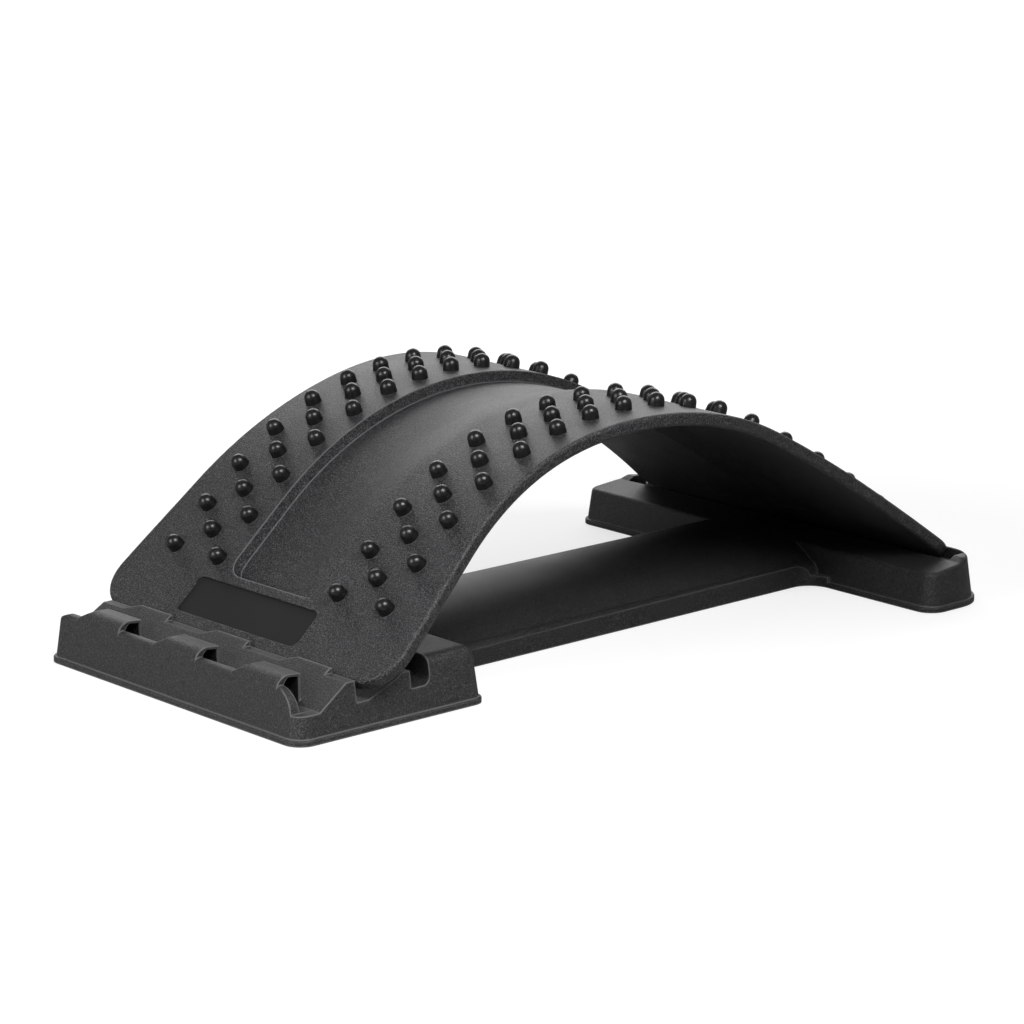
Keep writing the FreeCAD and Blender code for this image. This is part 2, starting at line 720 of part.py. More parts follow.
def make_beam():
    """The arched beam, its butt end against the adjuster foot and its tongue under that foot."""
    body = new_body("beam", placed=False)
    lift, over, gap = size.pad_proud, size.overrun, size.joint_gap
    root = size.block_length - over
    neck = foot_inner - size.beam_flare
    end = foot_inner + size.beam_end_slope
    flare = size.beam_far_half + size.beam_flare
    plan = [
        (root, -size.beam_near_half), (neck, -size.beam_far_half, size.beam_flare, -1),
        (foot_inner, -flare), (end, -flare), (end, flare), (foot_inner, flare, size.beam_flare, -1),
        (neck, size.beam_far_half), (root, size.beam_near_half),
    ]
    high, wide = size.beam_crest + over, size.beam_near_half + over
    sketch = new_sketch(body, "beam_plan", "XY_Plane", [plan], lift)
    extrude("Pad", body, "beam_block", sketch, high - lift)
    shoulder, up = size.beam_shoulder_half, size.beam_shoulder_up
    rise = size.beam_crest - up
    arch_radius = (shoulder * shoulder + rise * rise) / (rise * 2)
    brow, low = shoulder + size.beam_brow_out, up - size.beam_brow_down
    crown = [
        (-wide, high + over), (-wide, low), (-brow, low, size.beam_brow_radius, -1),
        (-shoulder, up, arch_radius, -1), (shoulder, up, size.beam_brow_radius, -1), (brow, low),
        (wide, low), (wide, high + over),
    ]
    sketch = new_sketch(body, "crown_profile", "YZ_Plane", [crown])
    extrude("Pocket", body, "crown", sketch, far_edge, reverse=True)
    lip_up = lift + size.lip_high + gap
    trim = [
        (root - over, -over), (size.block_length + gap, -over), (size.block_length + gap, lip_up),
        (wall_line(size.block_length, 1, lip_up) + gap, lip_up),
        (wall_line(size.block_length, 1, high) + gap, high), (root - over, high),
    ]
    sketch = new_sketch(body, "butt_profile", "XZ_Plane", [trim])
    extrude("Pocket", body, "butt_end", sketch, wide * 2, symmetric=True)
    slope = [
        (foot_inner, size.beam_crest), (end, size.foot_inner_top - gap),
        (end + over, size.foot_inner_top - gap), (end + over, high), (foot_inner, high),
    ]
    sketch = new_sketch(body, "end_profile", "XZ_Plane", [slope])
    extrude("Pocket", body, "end_slope", sketch, wide * 2, symmetric=True)
    sketch = new_sketch(body, "tongue_plan", "XY_Plane", [tongue_plan(zero)], lift)
    extrude("Pad", body, "tongue", sketch, size.tongue_top - lift)
    return body


def make_base_frame():
    """The wide far foot with the trough for the board's far end, in one moulding with the beam."""
    beam = make_beam()
    body = new_body("base_frame")
    over = size.overrun
    add_foot(body, foot_inner, far_edge, size.foot_half, size.foot_rim_top, size.foot_inner_radius,
             size.foot_outer_radius)
    rim = trough_wall - size.foot_rim_wide
    mouth = trough_wall - size.trough_mouth_wide
    slope = [
        (foot_inner - over, size.foot_rim_top + over), (foot_inner - over, size.foot_inner_top),
        (foot_inner, size.foot_inner_top), (mouth, size.trough_mouth_up), (rim, size.foot_rim_top),
        (rim, size.foot_rim_top + over),
    ]
    sketch = new_sketch(body, "top_profile", "XZ_Plane", [slope])
    extrude("Pocket", body, "sloping_top", sketch, (size.foot_half + over) * 2, symmetric=True)

    def on_top(edge):
        spread = edge.BoundBox
        inside = spread.XMin > plain(foot_inner + size.foot_inner_radius) and spread.XMax < plain(trough_wall)
        crease = inside and spread.YLength > size.foot_half.value
        return spread.ZMin > size.foot_inner_top.value and not crease

    round_edges(body, "top_edge", on_top, size.foot_edge_radius)
    foot = trough_wall - size.trough_floor_wide
    trough = [
        (mouth - over, size.trough_mouth_up + over), (mouth, size.trough_mouth_up), (foot, trough_floor),
        (trough_wall, trough_floor), (trough_wall, size.trough_mouth_up + over),
    ]
    sketch = new_sketch(body, "trough_profile", "XZ_Plane", [trough])
    extrude("Pocket", body, "trough", sketch, size.trough_half * 2, symmetric=True)

    joined = body.newObject("PartDesign::Boolean", "beam_joint")
    joined.Type = "Fuse"
    joined.Group = [beam]
    body.Tip = joined
    doc.recompute()
    check_state(joined)

    start = size.block_length + size.beam_cell_start
    inner, outer = size.beam_side_cell_inner, size.beam_side_cell_outer
    columns = (
        ("middle", -size.beam_mid_cell_half, size.beam_mid_cell_half, size.beam_mid_cell_top),
        ("left", inner, outer, size.beam_side_cell_top),
        ("right", -outer, -inner, size.beam_side_cell_top),
    )
    for name, low, high, top in columns:
        outline = rectangle(start, start + size.beam_cell_long, low, high)
        sketch = new_sketch(body, name + "_cell_plan", "XY_Plane", [outline])
        cell = extrude("Pocket", body, name + "_cell", sketch, top, reverse=True)
        pattern(body, name + "_cells", cell, "H_Axis", size.cell_pitch, 7)
    first = -size.cell_pitch * 1.5
    outline = rectangle(foot_inner + size.foot_cell_wall, far_edge - size.foot_cell_wall,
                        first - size.cell_wide / 2, first + size.cell_wide / 2)
    sketch = new_sketch(body, "foot_cell_plan", "XY_Plane", [outline])
    cell = extrude("Pocket", body, "foot_cell", sketch, size.foot_cell_top, reverse=True)
    pattern(body, "foot_cells", cell, "V_Axis", size.cell_pitch, 4)
    cut_pad_seats(body, far_pad_places())
    return body


def section(edges):
    return Part.Face(Part.Wire(edges))


def run_of(points):
    """Straight edges through points, in order."""
    return [Part.LineSegment(first, last).toShape() for first, last in zip(points, points[1:])]


def plan_curve(side):
    """One long side of the board's plan, through its named half widths."""
    start, end = arch.point(0), arch.point(arch.length)
    spots = []
    for name, share in PLAN_SHARES.items():
        across = start.x + (end.x - start.x) * share
        spots.append(Vector(across, getattr(size, name).value * side, 0))
    curve = Part.BSplineCurve()
    curve.interpolate(spots)
    return curve, spots


def board_blank():
    """The arched plate, cut to its waisted plan, with round corners and a rounded rim."""
    over, wall = size.overrun.value, size.board_wall.value
    top, under = arch.edges(0), arch.edges(wall)
    ends = [Part.LineSegment(arch.point(run), arch.point(run, wall)).toShape() for run in (0, arch.length)]
    side = section(Part.__sortEdges__(top + under + ends))
    wide = size.near_half.value + over
    side.translate(Vector(0, -wide, 0))
    plate = side.extrude(Vector(0, wide * 2, 0))

    curves = []
    for half in (1, -1):
        curve, spots = plan_curve(half)
        near = Vector(spots[0].x - over, spots[0].y, 0)
        far = Vector(spots[-1].x + over, spots[-1].y, 0)
        edges = [Part.LineSegment(near, spots[0]).toShape(), curve.toShape(),
                 Part.LineSegment(spots[-1], far).toShape()]
        curves += edges
        if half > 0:
            corners = (near, far)
        else:
            curves += run_of((corners[0], near)) + run_of((corners[1], far))
    plan = section(Part.__sortEdges__(curves))
    height = arch.crown_centre.z + size.crown_radius.value + over
    blank = plate.common(plan.extrude(Vector(0, 0, height)))

    half_wall = wall / 2

    def corner(edge):
        flat = edge.BoundBox.YLength < wall / 4
        return flat and abs(edge.Length - wall) < wall / 4 and abs(edge.CenterOfMass.y) > wide / 2

    middle = arch.crown_centre.x
    for radius, far in ((size.board_corner_radius, False), (size.board_far_corner_radius, True)):
        chosen = [e for e in blank.Edges if corner(e) and (e.CenterOfMass.x > middle) == far]
        blank = blank.makeFillet(radius.value, chosen)
    rim = [e for e in blank.Edges if e.Length > wall + size.joint_gap.value]
    return blank.makeFillet(size.board_rim_radius.value, rim)


def channel_section():
    """The channel's section: depth below the top face against the distance from the middle."""
    left, right, depth = size.channel_left_half.value, size.channel_right_half.value, size.channel_depth.value
    lean, above = size.channel_wall_lean.value, size.channel_wall_lean.value
    foot = Vector(0, left - lean, -depth)
    spots = [Vector(0, right * side, -depth * deep) for side, deep in
             ((-across, deep) for across, deep in CHANNEL_FLOOR_SHARES)]
    floor = Part.BSplineCurve()
    floor.interpolate(spots)
    over = Vector(0, spots[-1].y - lean, above)
    brim = Vector(0, left + lean / depth * above, above)
    edges = run_of((foot, spots[0])) + [floor.toShape()] + run_of((spots[-1], over, brim, foot))
    return section(edges)


def bulge_section():
    """The channel's floor as it stands out of the board's underside."""
    left, right = size.channel_left_half.value, size.channel_right_half.value
    margin, lean = size.bulge_margin.value, size.bulge_lean.value
    root, low = size.board_wall.value / 2, size.board_wall.value + size.bulge_proud.value
    spots = [
        Vector(0, left + margin + lean, -root), Vector(0, left + margin + lean / 2, -root * 2),
        Vector(0, left + margin - lean / 2, -low), Vector(0, -right * BULGE_FLOOR_SHARE, -low),
        Vector(0, -right, -root * 2), Vector(0, -right - lean / 2, -root),
    ]
    return section(run_of(spots + spots[:1]))


def make_arch_board():
    """The studded board, without its nubs: plate, channel, label recess and nub seats."""
    margin = size.channel_end_margin.value
    board = board_blank()
    lean = size.bulge_lean.value
    board = board.fuse(arch.sweep(bulge_section(), margin - lean, arch.length - margin + lean))
    channel = arch.sweep(channel_section(), margin, arch.length - margin)
    deep = size.channel_depth.value

    def corner(edge):
        spread = edge.BoundBox
        steep = spread.YLength < deep / 2 and deep / 2 < edge.Length < deep * 2
        return steep and edge.CenterOfMass.y > size.channel_left_half.value - deep / 2

    corners = [e for e in channel.Edges if corner(e)]
    channel = channel.makeFillet(size.channel_corner_radius.value, corners)
    board = board.cut(channel)
    label = Part.makeBox(size.label_high.value, size.label_wide.value, size.label_deep.value * 2)
    upright_edges = [e for e in label.Edges if e.BoundBox.ZLength > size.label_deep.value]
    label = label.makeFillet(size.label_corner_radius.value, upright_edges)
    label.Placement = arch.place(margin - size.label_gap.value - size.label_high.value,
                                 size.label_shift.value - size.label_wide.value / 2,
                                 size.label_deep.value)
    board = board.cut(label)
    seats = []
    for place in [spot for side in (1, -1) for row in range(NUB_ROWS) for spot in nub_places(row, side)]:
        seats.append(nub_seat(place))
    board = board.cut(Part.makeCompound(seats))
    feature = doc.addObject("Part::Feature", "arch_board")
    feature.Label = "arch_board"
    feature.Shape = board.removeSplitter()
    feature.Placement = Placement(Vector(shift.value, 0, 0), Rotation())
    return feature


def row_run(row):
    """How far along the board a row of nubs stands; rows lie closer on the crown than near the ends."""
    step = row - (NUB_ROWS - 1) / 2
    near = min(abs(step), CROWN_ROWS_SHARE)
    crown = size.crown_row_pitch.value * CROWN_ROWS_SHARE
    end_steps = (NUB_ROWS - 1) / 2 - CROWN_ROWS_SHARE
    end_pitch = (arch.length / 2 - size.rows_end_margin.value - crown) / end_steps
    away = size.crown_row_pitch.value * near + end_pitch * (abs(step) - near)
    return arch.length / 2 + math.copysign(away, step)


def column_halves(row):
    """The inner and the outer column's distance from the middle at a row."""
    pitch = size.crown_row_pitch.value
    inner = size.inner_column_half.value + pitch * INNER_SPREAD_SHARE * max(0, row - INNER_START_SHARE)
    outer = size.outer_column_half.value + pitch * OUTER_CURVE_SHARE * (row - OUTER_CENTRE_SHARE) ** 2
    return inner, outer


def nub_places(row, side):
    """Placements of one row's inner and outer nubs and of the nub halfway to the next row."""
    spots = [(row, half) for half in column_halves(row)]
    if row < NUB_ROWS - 1:
        spots.append((row + 0.5, sum(column_halves(row + 0.5)) / 2))
    return [arch.place(row_run(at), half * side, size.nub_seat_deep.value) for at, half in spots]


def nub_seat(place):
    """A spot face with a blind hole, both a clearance wider than the nub."""
    gap = size.nub_fit_gap.value
    face = Part.makeCylinder(size.nub_base_radius.value + gap, size.nub_high.value)
    long = size.nub_spigot_long.value + gap
    hole = Part.makeCylinder(size.nub_spigot_radius.value + gap, long + gap, Vector(0, 0, -long))
    seat = face.fuse(hole)
    seat.Placement = place
    return seat


def nub_solid():
    """One bullet-shaped nub on its spigot, standing on its seat at the origin."""
    neck, long = size.nub_neck_radius.value, size.nub_spigot_long.value
    shoulder = size.nub_neck_high.value + size.nub_seat_deep.value
    dome_high = size.nub_high.value - size.nub_neck_high.value
    ball = (neck ** 2 + dome_high ** 2) / (dome_high * 2)
    centre = shoulder + dome_high - ball
    lowest = math.degrees(math.asin((shoulder - centre) / ball))
    dome = Part.makeSphere(ball, Vector(0, 0, centre), Vector(0, 0, 1), lowest, 90, 360)
    body = Part.makeCone(size.nub_base_radius.value, neck, shoulder)
    spigot = Part.makeCylinder(size.nub_spigot_radius.value, long, Vector(0, 0, -long))
    return dome.fuse([body, spigot])


def make_nub_row(row, side):
    """One row's nubs, as separate solids in one node."""
    name = "nub_%s_%02d" % ("left" if side > 0 else "right", row + 1)
    solids = []
    for place in nub_places(row, side):
        nub = nub_solid()
        nub.Placement = place
        solids.append(nub)
    feature = doc.addObject("Part::Feature", name)
    feature.Label = name
    feature.Shape = Part.makeCompound(solids)
    feature.Placement = Placement(Vector(shift.value, 0, 0), Rotation())
    return feature


nodes = [make_adjuster_block(), make_base_frame(), make_arch_board(),
         make_pads("near_pads", near_pad_places()), make_pads("far_pads", far_pad_places())]
nodes += [make_nub_row(row, side) for side in (1, -1) for row in range(NUB_ROWS)]
doc.recompute()

for item in doc.Objects:
    check_state(item)
os.makedirs("parts", exist_ok=True)
for node in nodes:
    if node.Shape.isNull() or not node.Shape.isValid():
        raise RuntimeError("%s has no valid shape" % node.Label)
for node in nodes:
    node.Shape.exportStep("parts/%s.step" % node.Label)
    print(node.Label, len(node.Shape.Solids), node.Shape.BoundBox)
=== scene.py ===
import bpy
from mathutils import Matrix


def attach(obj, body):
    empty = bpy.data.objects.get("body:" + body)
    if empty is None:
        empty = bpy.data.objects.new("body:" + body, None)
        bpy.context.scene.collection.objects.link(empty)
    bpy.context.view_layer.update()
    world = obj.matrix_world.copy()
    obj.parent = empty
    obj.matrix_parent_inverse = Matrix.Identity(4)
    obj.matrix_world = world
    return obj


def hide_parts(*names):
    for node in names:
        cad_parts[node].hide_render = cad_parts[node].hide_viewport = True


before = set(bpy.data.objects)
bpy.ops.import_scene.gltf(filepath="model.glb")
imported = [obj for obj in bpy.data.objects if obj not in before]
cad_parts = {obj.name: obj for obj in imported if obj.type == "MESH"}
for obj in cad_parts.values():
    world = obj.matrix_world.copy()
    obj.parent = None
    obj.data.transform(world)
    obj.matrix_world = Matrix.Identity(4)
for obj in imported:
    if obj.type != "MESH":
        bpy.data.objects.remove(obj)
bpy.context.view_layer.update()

import math

import bmesh
import bpy
from mathutils import Matrix, Vector

bl_info = {
    "name": "Back stretcher",
    "version": (1, 0, 0),
    "blender": (4, 5, 0),
    "location": "View3D > Sidebar > Stretcher",
    "description": "Builds the finishes, nubs and studio of an arched back stretcher",
    "category": "Object",
}

MM = 0.001

# The line of the board's top face, in millimetres and degrees: a straight run, a crown and a long tail
LINE_START = Vector((-159.3705, 0, 20.8))
STRAIGHT_RUN = 71.8
STRAIGHT_SLOPE = math.radians(41.5)
CROWN_RADIUS = 163.4
CROWN_TURN = math.radians(68.95)
TAIL_RADIUS = 661.0

# Rows of nubs along the board: closer together over the crown than towards the ends
ROWS = 16
MIDDLE_ROW = (ROWS - 1) / 2
LINE_MIDDLE = 199.1117
CROWN_ROWS = 3.0
CROWN_PITCH = 19.2
END_MARGIN = 35.8
END_PITCH = (LINE_MIDDLE - END_MARGIN - CROWN_PITCH * CROWN_ROWS) / (MIDDLE_ROW - CROWN_ROWS)

# Columns of nubs: half the distance across, how much it grows by the row, and the row where that starts
INNER_COLUMN = (41.3, 0.8448, 4.2)
# The same with the growth by the row squared, from the row where the column is narrowest
OUTER_COLUMN = (70.2, 0.05568, 5.7)

# A nub's mesh: its foot goes into the board by this share of its height
NUB_SINK = 0.06
NUB_SEGMENTS = 28
DOME_STEPS = 8

# The bare label recess: its middle and half size along the board and across it, and its corner radius
LABEL_RUN = (16.0, 9.5)
LABEL_SIDE = (3.5, 41.25)
LABEL_CORNER = 4.0
# Its rim has no painted edge highlight this far out, and its floor is this share as light as the board
LABEL_RIM = 1.5
LABEL_TONE = 0.7

# Grain of a moulded piece whose grain size is 1 mm, in features to the metre
PEBBLE_SCALE = 1000.0
FINE_SCALE = 1700.0
SPECK_SCALE = 900.0
PEBBLE_SMOOTHNESS = 0.6
SPECK_SHADE = 0.25

# Patches of uneven gloss, and how far they take the roughness up and down
GLOSS_SCALE = 38.0
GLOSS_CHANGE = 0.05
PLASTIC_IOR = 1.47

# Nubs: scuffs and waviness in features to the metre, and the scuffs' depth in millimetres
SCUFF_SCALE = 2600.0
SCUFF_DEPTH = 0.004
WAVE_SCALE = 210.0
NUB_GLOSS_CHANGE = 0.06
NUB_IOR = 1.49

# Rubber: its grain in features to the metre, the grain's depth in millimetres, and how matt it is
RUBBER_SCALE = 3000.0
RUBBER_DEPTH = 0.01
RUBBER_ROUGHNESS = (0.8, 0.9)

# A Mix node's sockets for colours, which share their names with the others
COLOUR_A = 6
COLOUR_B = 7
MIXED_COLOUR = 2

# Nearly all of a noise's values lie between these
NOISE_MIDDLE = (0.3, 0.7)

# Cosines of the turn at which an edge begins to take the painted highlight and takes it in full
EDGE_TURN = (0.995, 0.9)
EDGE_SAMPLES = 8

# Camera at the photograph's viewing angle, in metres and degrees, with its lens in millimetres
CAMERA_PLACE = (-1.06562, -1.20036, 0.44262)
CAMERA_YAW = 48.396
CAMERA_PITCH = 13.704
CAMERA_LENS = 129.67
CAMERA_SENSOR = 36.0
CAMERA_REACH = 60.0

# Lamps: name, setting that holds the power, place, target, width and height, and spread in degrees
LAMPS = (
    ("behind", "back_light", (1.5, 1.7, 1.2), (0.0, 0.0, 0.1), (2.6, 1.6), 180),
    ("left", "side_light", (-1.9, 0.2, 0.7), (-0.1, 0.0, 0.05), (1.0, 1.0), 180),
    ("rim", "rim_light", (-0.3, -0.65, 0.72), (-0.15, -0.08, 0.03), (0.6, 0.35), 60),
)

# The floor turns plain white for the camera between these distances from the middle, in metres
WHITE_FROM = 0.3
WHITE_TO = 0.75
FLOOR_RADIUS = 9.0
FLOOR_SEGMENTS = 96
FLOOR_ROUGHNESS = 0.9


def along_face(slope):
    """The direction along the board's top face, towards the far foot, where it has this slope."""
    return Vector((math.cos(slope), 0, math.sin(slope)))


def out_of_face(slope):
    """The direction out of the board's top face where it has this slope."""
    return Vector((-math.sin(slope), 0, math.cos(slope)))


def point_on_line(run):
    """The place and slope of the board's top face at this run along it, in millimetres."""
    along = along_face(STRAIGHT_SLOPE)
    if run <= STRAIGHT_RUN:
        return LINE_START + along * run, STRAIGHT_SLOPE
    bend = LINE_START + along * STRAIGHT_RUN
    centre = bend - out_of_face(STRAIGHT_SLOPE) * CROWN_RADIUS
    crown_end = STRAIGHT_RUN + CROWN_RADIUS * CROWN_TURN
    if run <= crown_end:
        slope = STRAIGHT_SLOPE - (run - STRAIGHT_RUN) / CROWN_RADIUS
        return centre + out_of_face(slope) * CROWN_RADIUS, slope
    end_slope = STRAIGHT_SLOPE - CROWN_TURN
    run_out = centre + out_of_face(end_slope) * CROWN_RADIUS
    slope = end_slope - (run - crown_end) / TAIL_RADIUS
    tail_centre = run_out - out_of_face(end_slope) * TAIL_RADIUS
    return tail_centre + out_of_face(slope) * TAIL_RADIUS, slope


def row_run(row):
    """How far along the board a row of nubs stands. A half row stands between two rows."""
    step = row - MIDDLE_ROW
    near = min(abs(step), CROWN_ROWS)
    return LINE_MIDDLE + math.copysign(CROWN_PITCH * near + END_PITCH * (abs(step) - near), step)


def column_halves(row):
    """The inner and the outer column's distance from the board's middle at a row."""
    half, spread, start = INNER_COLUMN
    inner = half + spread * max(0, row - start)
    half, curve, narrowest = OUTER_COLUMN
    return inner, half + curve * (row - narrowest) ** 2


def nub_spots():
    """Every nub's place on the top face, in millimetres, and the direction it points in.

    A full row has two nubs on each side, and between two rows there is one, midway between the columns.
    """
    spots = []
    for step in range(2 * ROWS - 1):
        row = step / 2
        halves = column_halves(row)
        if step % 2:
            halves = (sum(halves) / 2,)
        place, slope = point_on_line(row_run(row))
        for half in halves:
            for side in (half, -half):
                spots.append((place + Vector((0, side, 0)), out_of_face(slope)))
    return spots


class Wire:
    """A socket's output whose arithmetic adds Math nodes to its tree."""

    def __init__(self, graph, socket):
        self.graph = graph
        self.socket = socket

    def math(self, operation, *values):
        """This wire and then the values through one Math node."""
        return self.graph.node("ShaderNodeMath", {"operation": operation}, dict(enumerate((self, *values))))

    def __add__(self, other):
        return self.math("ADD", other)

    def __sub__(self, other):
        return self.math("SUBTRACT", other)

    def __mul__(self, other):
        return self.math("MULTIPLY", other)

    def __rsub__(self, other):
        return self * -1.0 + other

    __radd__ = __add__
    __rmul__ = __mul__


class Graph:
    """A node tree with one method that adds any node."""

    def __init__(self, tree):
        self.tree = tree

    def node(self, kind, settings=None, sockets=None, output=0):
        """Adds a node, sets its settings and then the values or links of its sockets."""
        item = self.tree.nodes.new(kind)
        for name, value in (settings or {}).items():
            setattr(item, name, value)
        for name, value in (sockets or {}).items():
            self.feed(item.inputs[name], value)
        return Wire(self, item.outputs[output]) if item.outputs else item

    def feed(self, socket, value):
        """Links a wire to a socket, or sets the socket to a value."""
        if isinstance(value, Wire):
            self.tree.links.new(value.socket, socket)
        else:
            socket.default_value = value


class Finish(Graph):
    """A material whose tree starts with one Principled shader."""

    def __init__(self, name):
        self.material = bpy.data.materials.new(name)
        self.material.use_nodes = True
        super().__init__(self.material.node_tree)
        self.shader = self.tree.nodes["Principled BSDF"]
        self.place = self.node("ShaderNodeTexCoord", output="Object")

    def set(self, **values):
        """Sets or links the shader's sockets, whose names have an underscore here for each space."""
        for name, value in values.items():
            self.feed(self.shader.inputs[name.replace("_", " ")], value)

    def noise(self, scale, detail):
        """Soft noise with this many features to the metre."""
        return self.node("ShaderNodeTexNoise", None, {"Vector": self.place, "Scale": scale, "Detail": detail})

    def pebbles(self, scale):
        """The distance from the nearest of many scattered points."""
        return self.node("ShaderNodeTexVoronoi", {"feature": "SMOOTH_F1"},
                         {"Vector": self.place, "Scale": scale, "Smoothness": PEBBLE_SMOOTHNESS})

    def ramp(self, wire, start, end, low, high):
        """Goes from low to high as the wire goes from start to end."""
        return self.node("ShaderNodeMapRange", None,
                         {"Value": wire, "From Min": start, "From Max": end, "To Min": low, "To Max": high})

    def spread(self, wire, low, high):
        """Stretches a noise's middle range over low to high."""
        return self.ramp(wire, *NOISE_MIDDLE, low, high)

    def uneven(self, pattern, middle, change):
        """A value that a noise takes up and down from its middle."""
        return self.spread(pattern, middle - change, middle + change)

    def along(self, direction):
        """The distance of a place from the origin along a direction."""
        return self.node("ShaderNodeVectorMath", {"operation": "DOT_PRODUCT"},
                         {0: self.place, 1: direction}, output="Value")

    def soft_edges(self, radius):
        """The surface's normal, rounded over this radius at sharp edges."""
        return self.node("ShaderNodeBevel", {"samples": EDGE_SAMPLES}, {"Radius": radius})

    def edges(self, radius):
        """Rises from 0 to 1 where the surface turns within this radius."""
        plain = self.node("ShaderNodeNewGeometry", output="Normal")
        facing = self.node("ShaderNodeVectorMath", {"operation": "DOT_PRODUCT"},
                           {0: self.soft_edges(radius), 1: plain}, output="Value")
        return self.ramp(facing, *EDGE_TURN, 0.0, 1.0)

    def tones(self, mask, first, second):
        """A mix of two colours, either of which may be a wire."""
        first, second = (tone if isinstance(tone, Wire) else (*tone, 1) for tone in (first, second))
        return self.node("ShaderNodeMix", {"data_type": "RGBA"},
                         {"Factor": mask, COLOUR_A: first, COLOUR_B: second}, output=MIXED_COLOUR)

    def bump(self, height, distance, base=None):
        """A normal that follows a height, on the surface's own normal or another one."""
        sockets = {"Height": height, "Distance": distance}
        if base is not None:
            sockets["Normal"] = base
        return self.node("ShaderNodeBump", None, sockets)


def toned(colour, share):
    """A colour made lighter or darker, to this share of itself."""
    return tuple(min(1.0, tone * share) for tone in colour)


def label_distance(finish):
    """How far outside the bare label recess a place lies, in metres. It is below 0 over the recess."""
    run = along_face(STRAIGHT_SLOPE)
    middle_run, half_run = LABEL_RUN
    sides = ((run, LINE_START.dot(run) + middle_run, half_run), ((0, 1, 0), *LABEL_SIDE))
    away = []
    for direction, middle, half in sides:
        past = (finish.along(direction) - middle * MM).math("ABSOLUTE") - (half - LABEL_CORNER) * MM
        away.append(past.math("MAXIMUM", 0.0))
    return (away[0] * away[0] + away[1] * away[1]).math("SQRT") - LABEL_CORNER * MM


def grained_plastic(name, settings, tone=1.0, recess=None):
    """Moulded black plastic with a pebbled grain, a little uneven in gloss, and edges coloured lighter as a
    painted highlight.

    The tone makes its colour darker, which paints shade on a copy of the plastic, and the recess gives the
    distance from a place that is left smooth.
    """
    finish = Finish(name)
    grain = finish.pebbles(PEBBLE_SCALE / settings.grain_size)
    fine = finish.noise(FINE_SCALE / settings.grain_size, detail=1.0)
    broad = finish.noise(GLOSS_SCALE, detail=3.0)
    speck = finish.noise(SPECK_SCALE / settings.grain_size, detail=0.0)
    # Painted highlight: edges are coloured lighter, standing in for light caught on their roundings
    highlit = finish.edges(settings.edge_radius * 2 * MM)
    colour = toned(settings.colour, tone)
    dots = finish.spread(speck, 0.0, 1.0)
    speckled = finish.tones(dots * dots, toned(colour, SPECK_SHADE), toned(colour, settings.speckle))
    height = grain * 0.5 + fine * 0.5
    if recess is not None:
        outside = recess(finish)
        bare = outside.math("LESS_THAN", 0.0)
        speckled = finish.tones(bare, speckled, toned(colour, LABEL_TONE))
        height = height * (1 - bare)
        highlit = highlit * outside.math("GREATER_THAN", LABEL_RIM * MM)
    normal = finish.soft_edges(settings.edge_radius * MM)
    finish.set(
        Base_Color=finish.tones(highlit, speckled, toned(colour, settings.edge_highlight)),
        Roughness=finish.uneven(broad * 0.6 + speck * 0.4, settings.roughness, GLOSS_CHANGE),
        IOR=PLASTIC_IOR,
        Normal=finish.bump(height, settings.grain_depth * MM, base=normal),
    )
    return finish.material


def smooth_plastic(name, settings):
    """Glossier moulded plastic, uneven in gloss, with fine scuffs."""
    finish = Finish(name)
    scuffs = finish.noise(SCUFF_SCALE, detail=1.0)
    waves = finish.noise(WAVE_SCALE, detail=2.0)
    finish.set(
        Base_Color=(*settings.colour, 1),
        Roughness=finish.uneven(waves * 0.5 + scuffs * 0.5, settings.roughness, NUB_GLOSS_CHANGE),
        IOR=NUB_IOR,
        Normal=finish.bump(scuffs, SCUFF_DEPTH * MM),
    )
    return finish.material


def pad_rubber(name, settings):
    """Matt rubber with a fine grain."""
    finish = Finish(name)
    fine = finish.noise(RUBBER_SCALE, detail=1.0)
    finish.set(
        Base_Color=(*settings.colour, 1),
        Roughness=finish.spread(fine, *RUBBER_ROUGHNESS),
        Normal=finish.bump(fine, RUBBER_DEPTH * MM),
    )
    return finish.material


def dress(names, material):
    """Gives CAD nodes a material."""
    for name in names:
        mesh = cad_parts[name].data
        mesh.materials.clear()
        mesh.materials.append(material)


def new_object(name, data):
    """An object in the scene for a mesh, lamp or camera."""
    item = bpy.data.objects.new(name, data)
    bpy.context.scene.collection.objects.link(item)
    return item


def lathe(profile, segments):
    """A closed mesh of revolution about Z from (radius, height) pairs that start and end on the axis."""
    mesh = bpy.data.meshes.new("lathe")
    work = bmesh.new()
    angles = [2 * math.pi * turn / segments for turn in range(segments)]
    rings = []
    for radius, height in profile:
        if radius == 0:
            rings.append([work.verts.new((0, 0, height))] * segments)
            continue
        rings.append([work.verts.new((radius * math.cos(a), radius * math.sin(a), height)) for a in angles])
    for low, high in zip(rings, rings[1:]):
        for turn in range(segments):
            after = (turn + 1) % segments
            corners = [low[turn], low[after], high[after], high[turn]]
            unique = [corner for place, corner in enumerate(corners) if corner not in corners[:place]]
            work.faces.new(unique).smooth = True
    bmesh.ops.recalc_face_normals(work, faces=work.faces)
    work.to_mesh(mesh)
    work.free()
    return mesh


def unit_nub(neck_share, neck_height):
    """A nub of base radius 1 and height 1: a short cone under a dome."""
    halfway = (1.0 - (1 - neck_share) * 0.5, neck_height * 0.5)
    profile = [(0, -NUB_SINK), (1.0, -NUB_SINK), (1.0, 0.0), halfway]
    for step in range(DOME_STEPS + 1):
        angle = math.pi / 2 * step / DOME_STEPS
        radius = 0 if step == DOME_STEPS else neck_share * math.cos(angle)
        profile.append((radius, neck_height + (1 - neck_height) * math.sin(angle)))
    return lathe(profile, NUB_SEGMENTS)


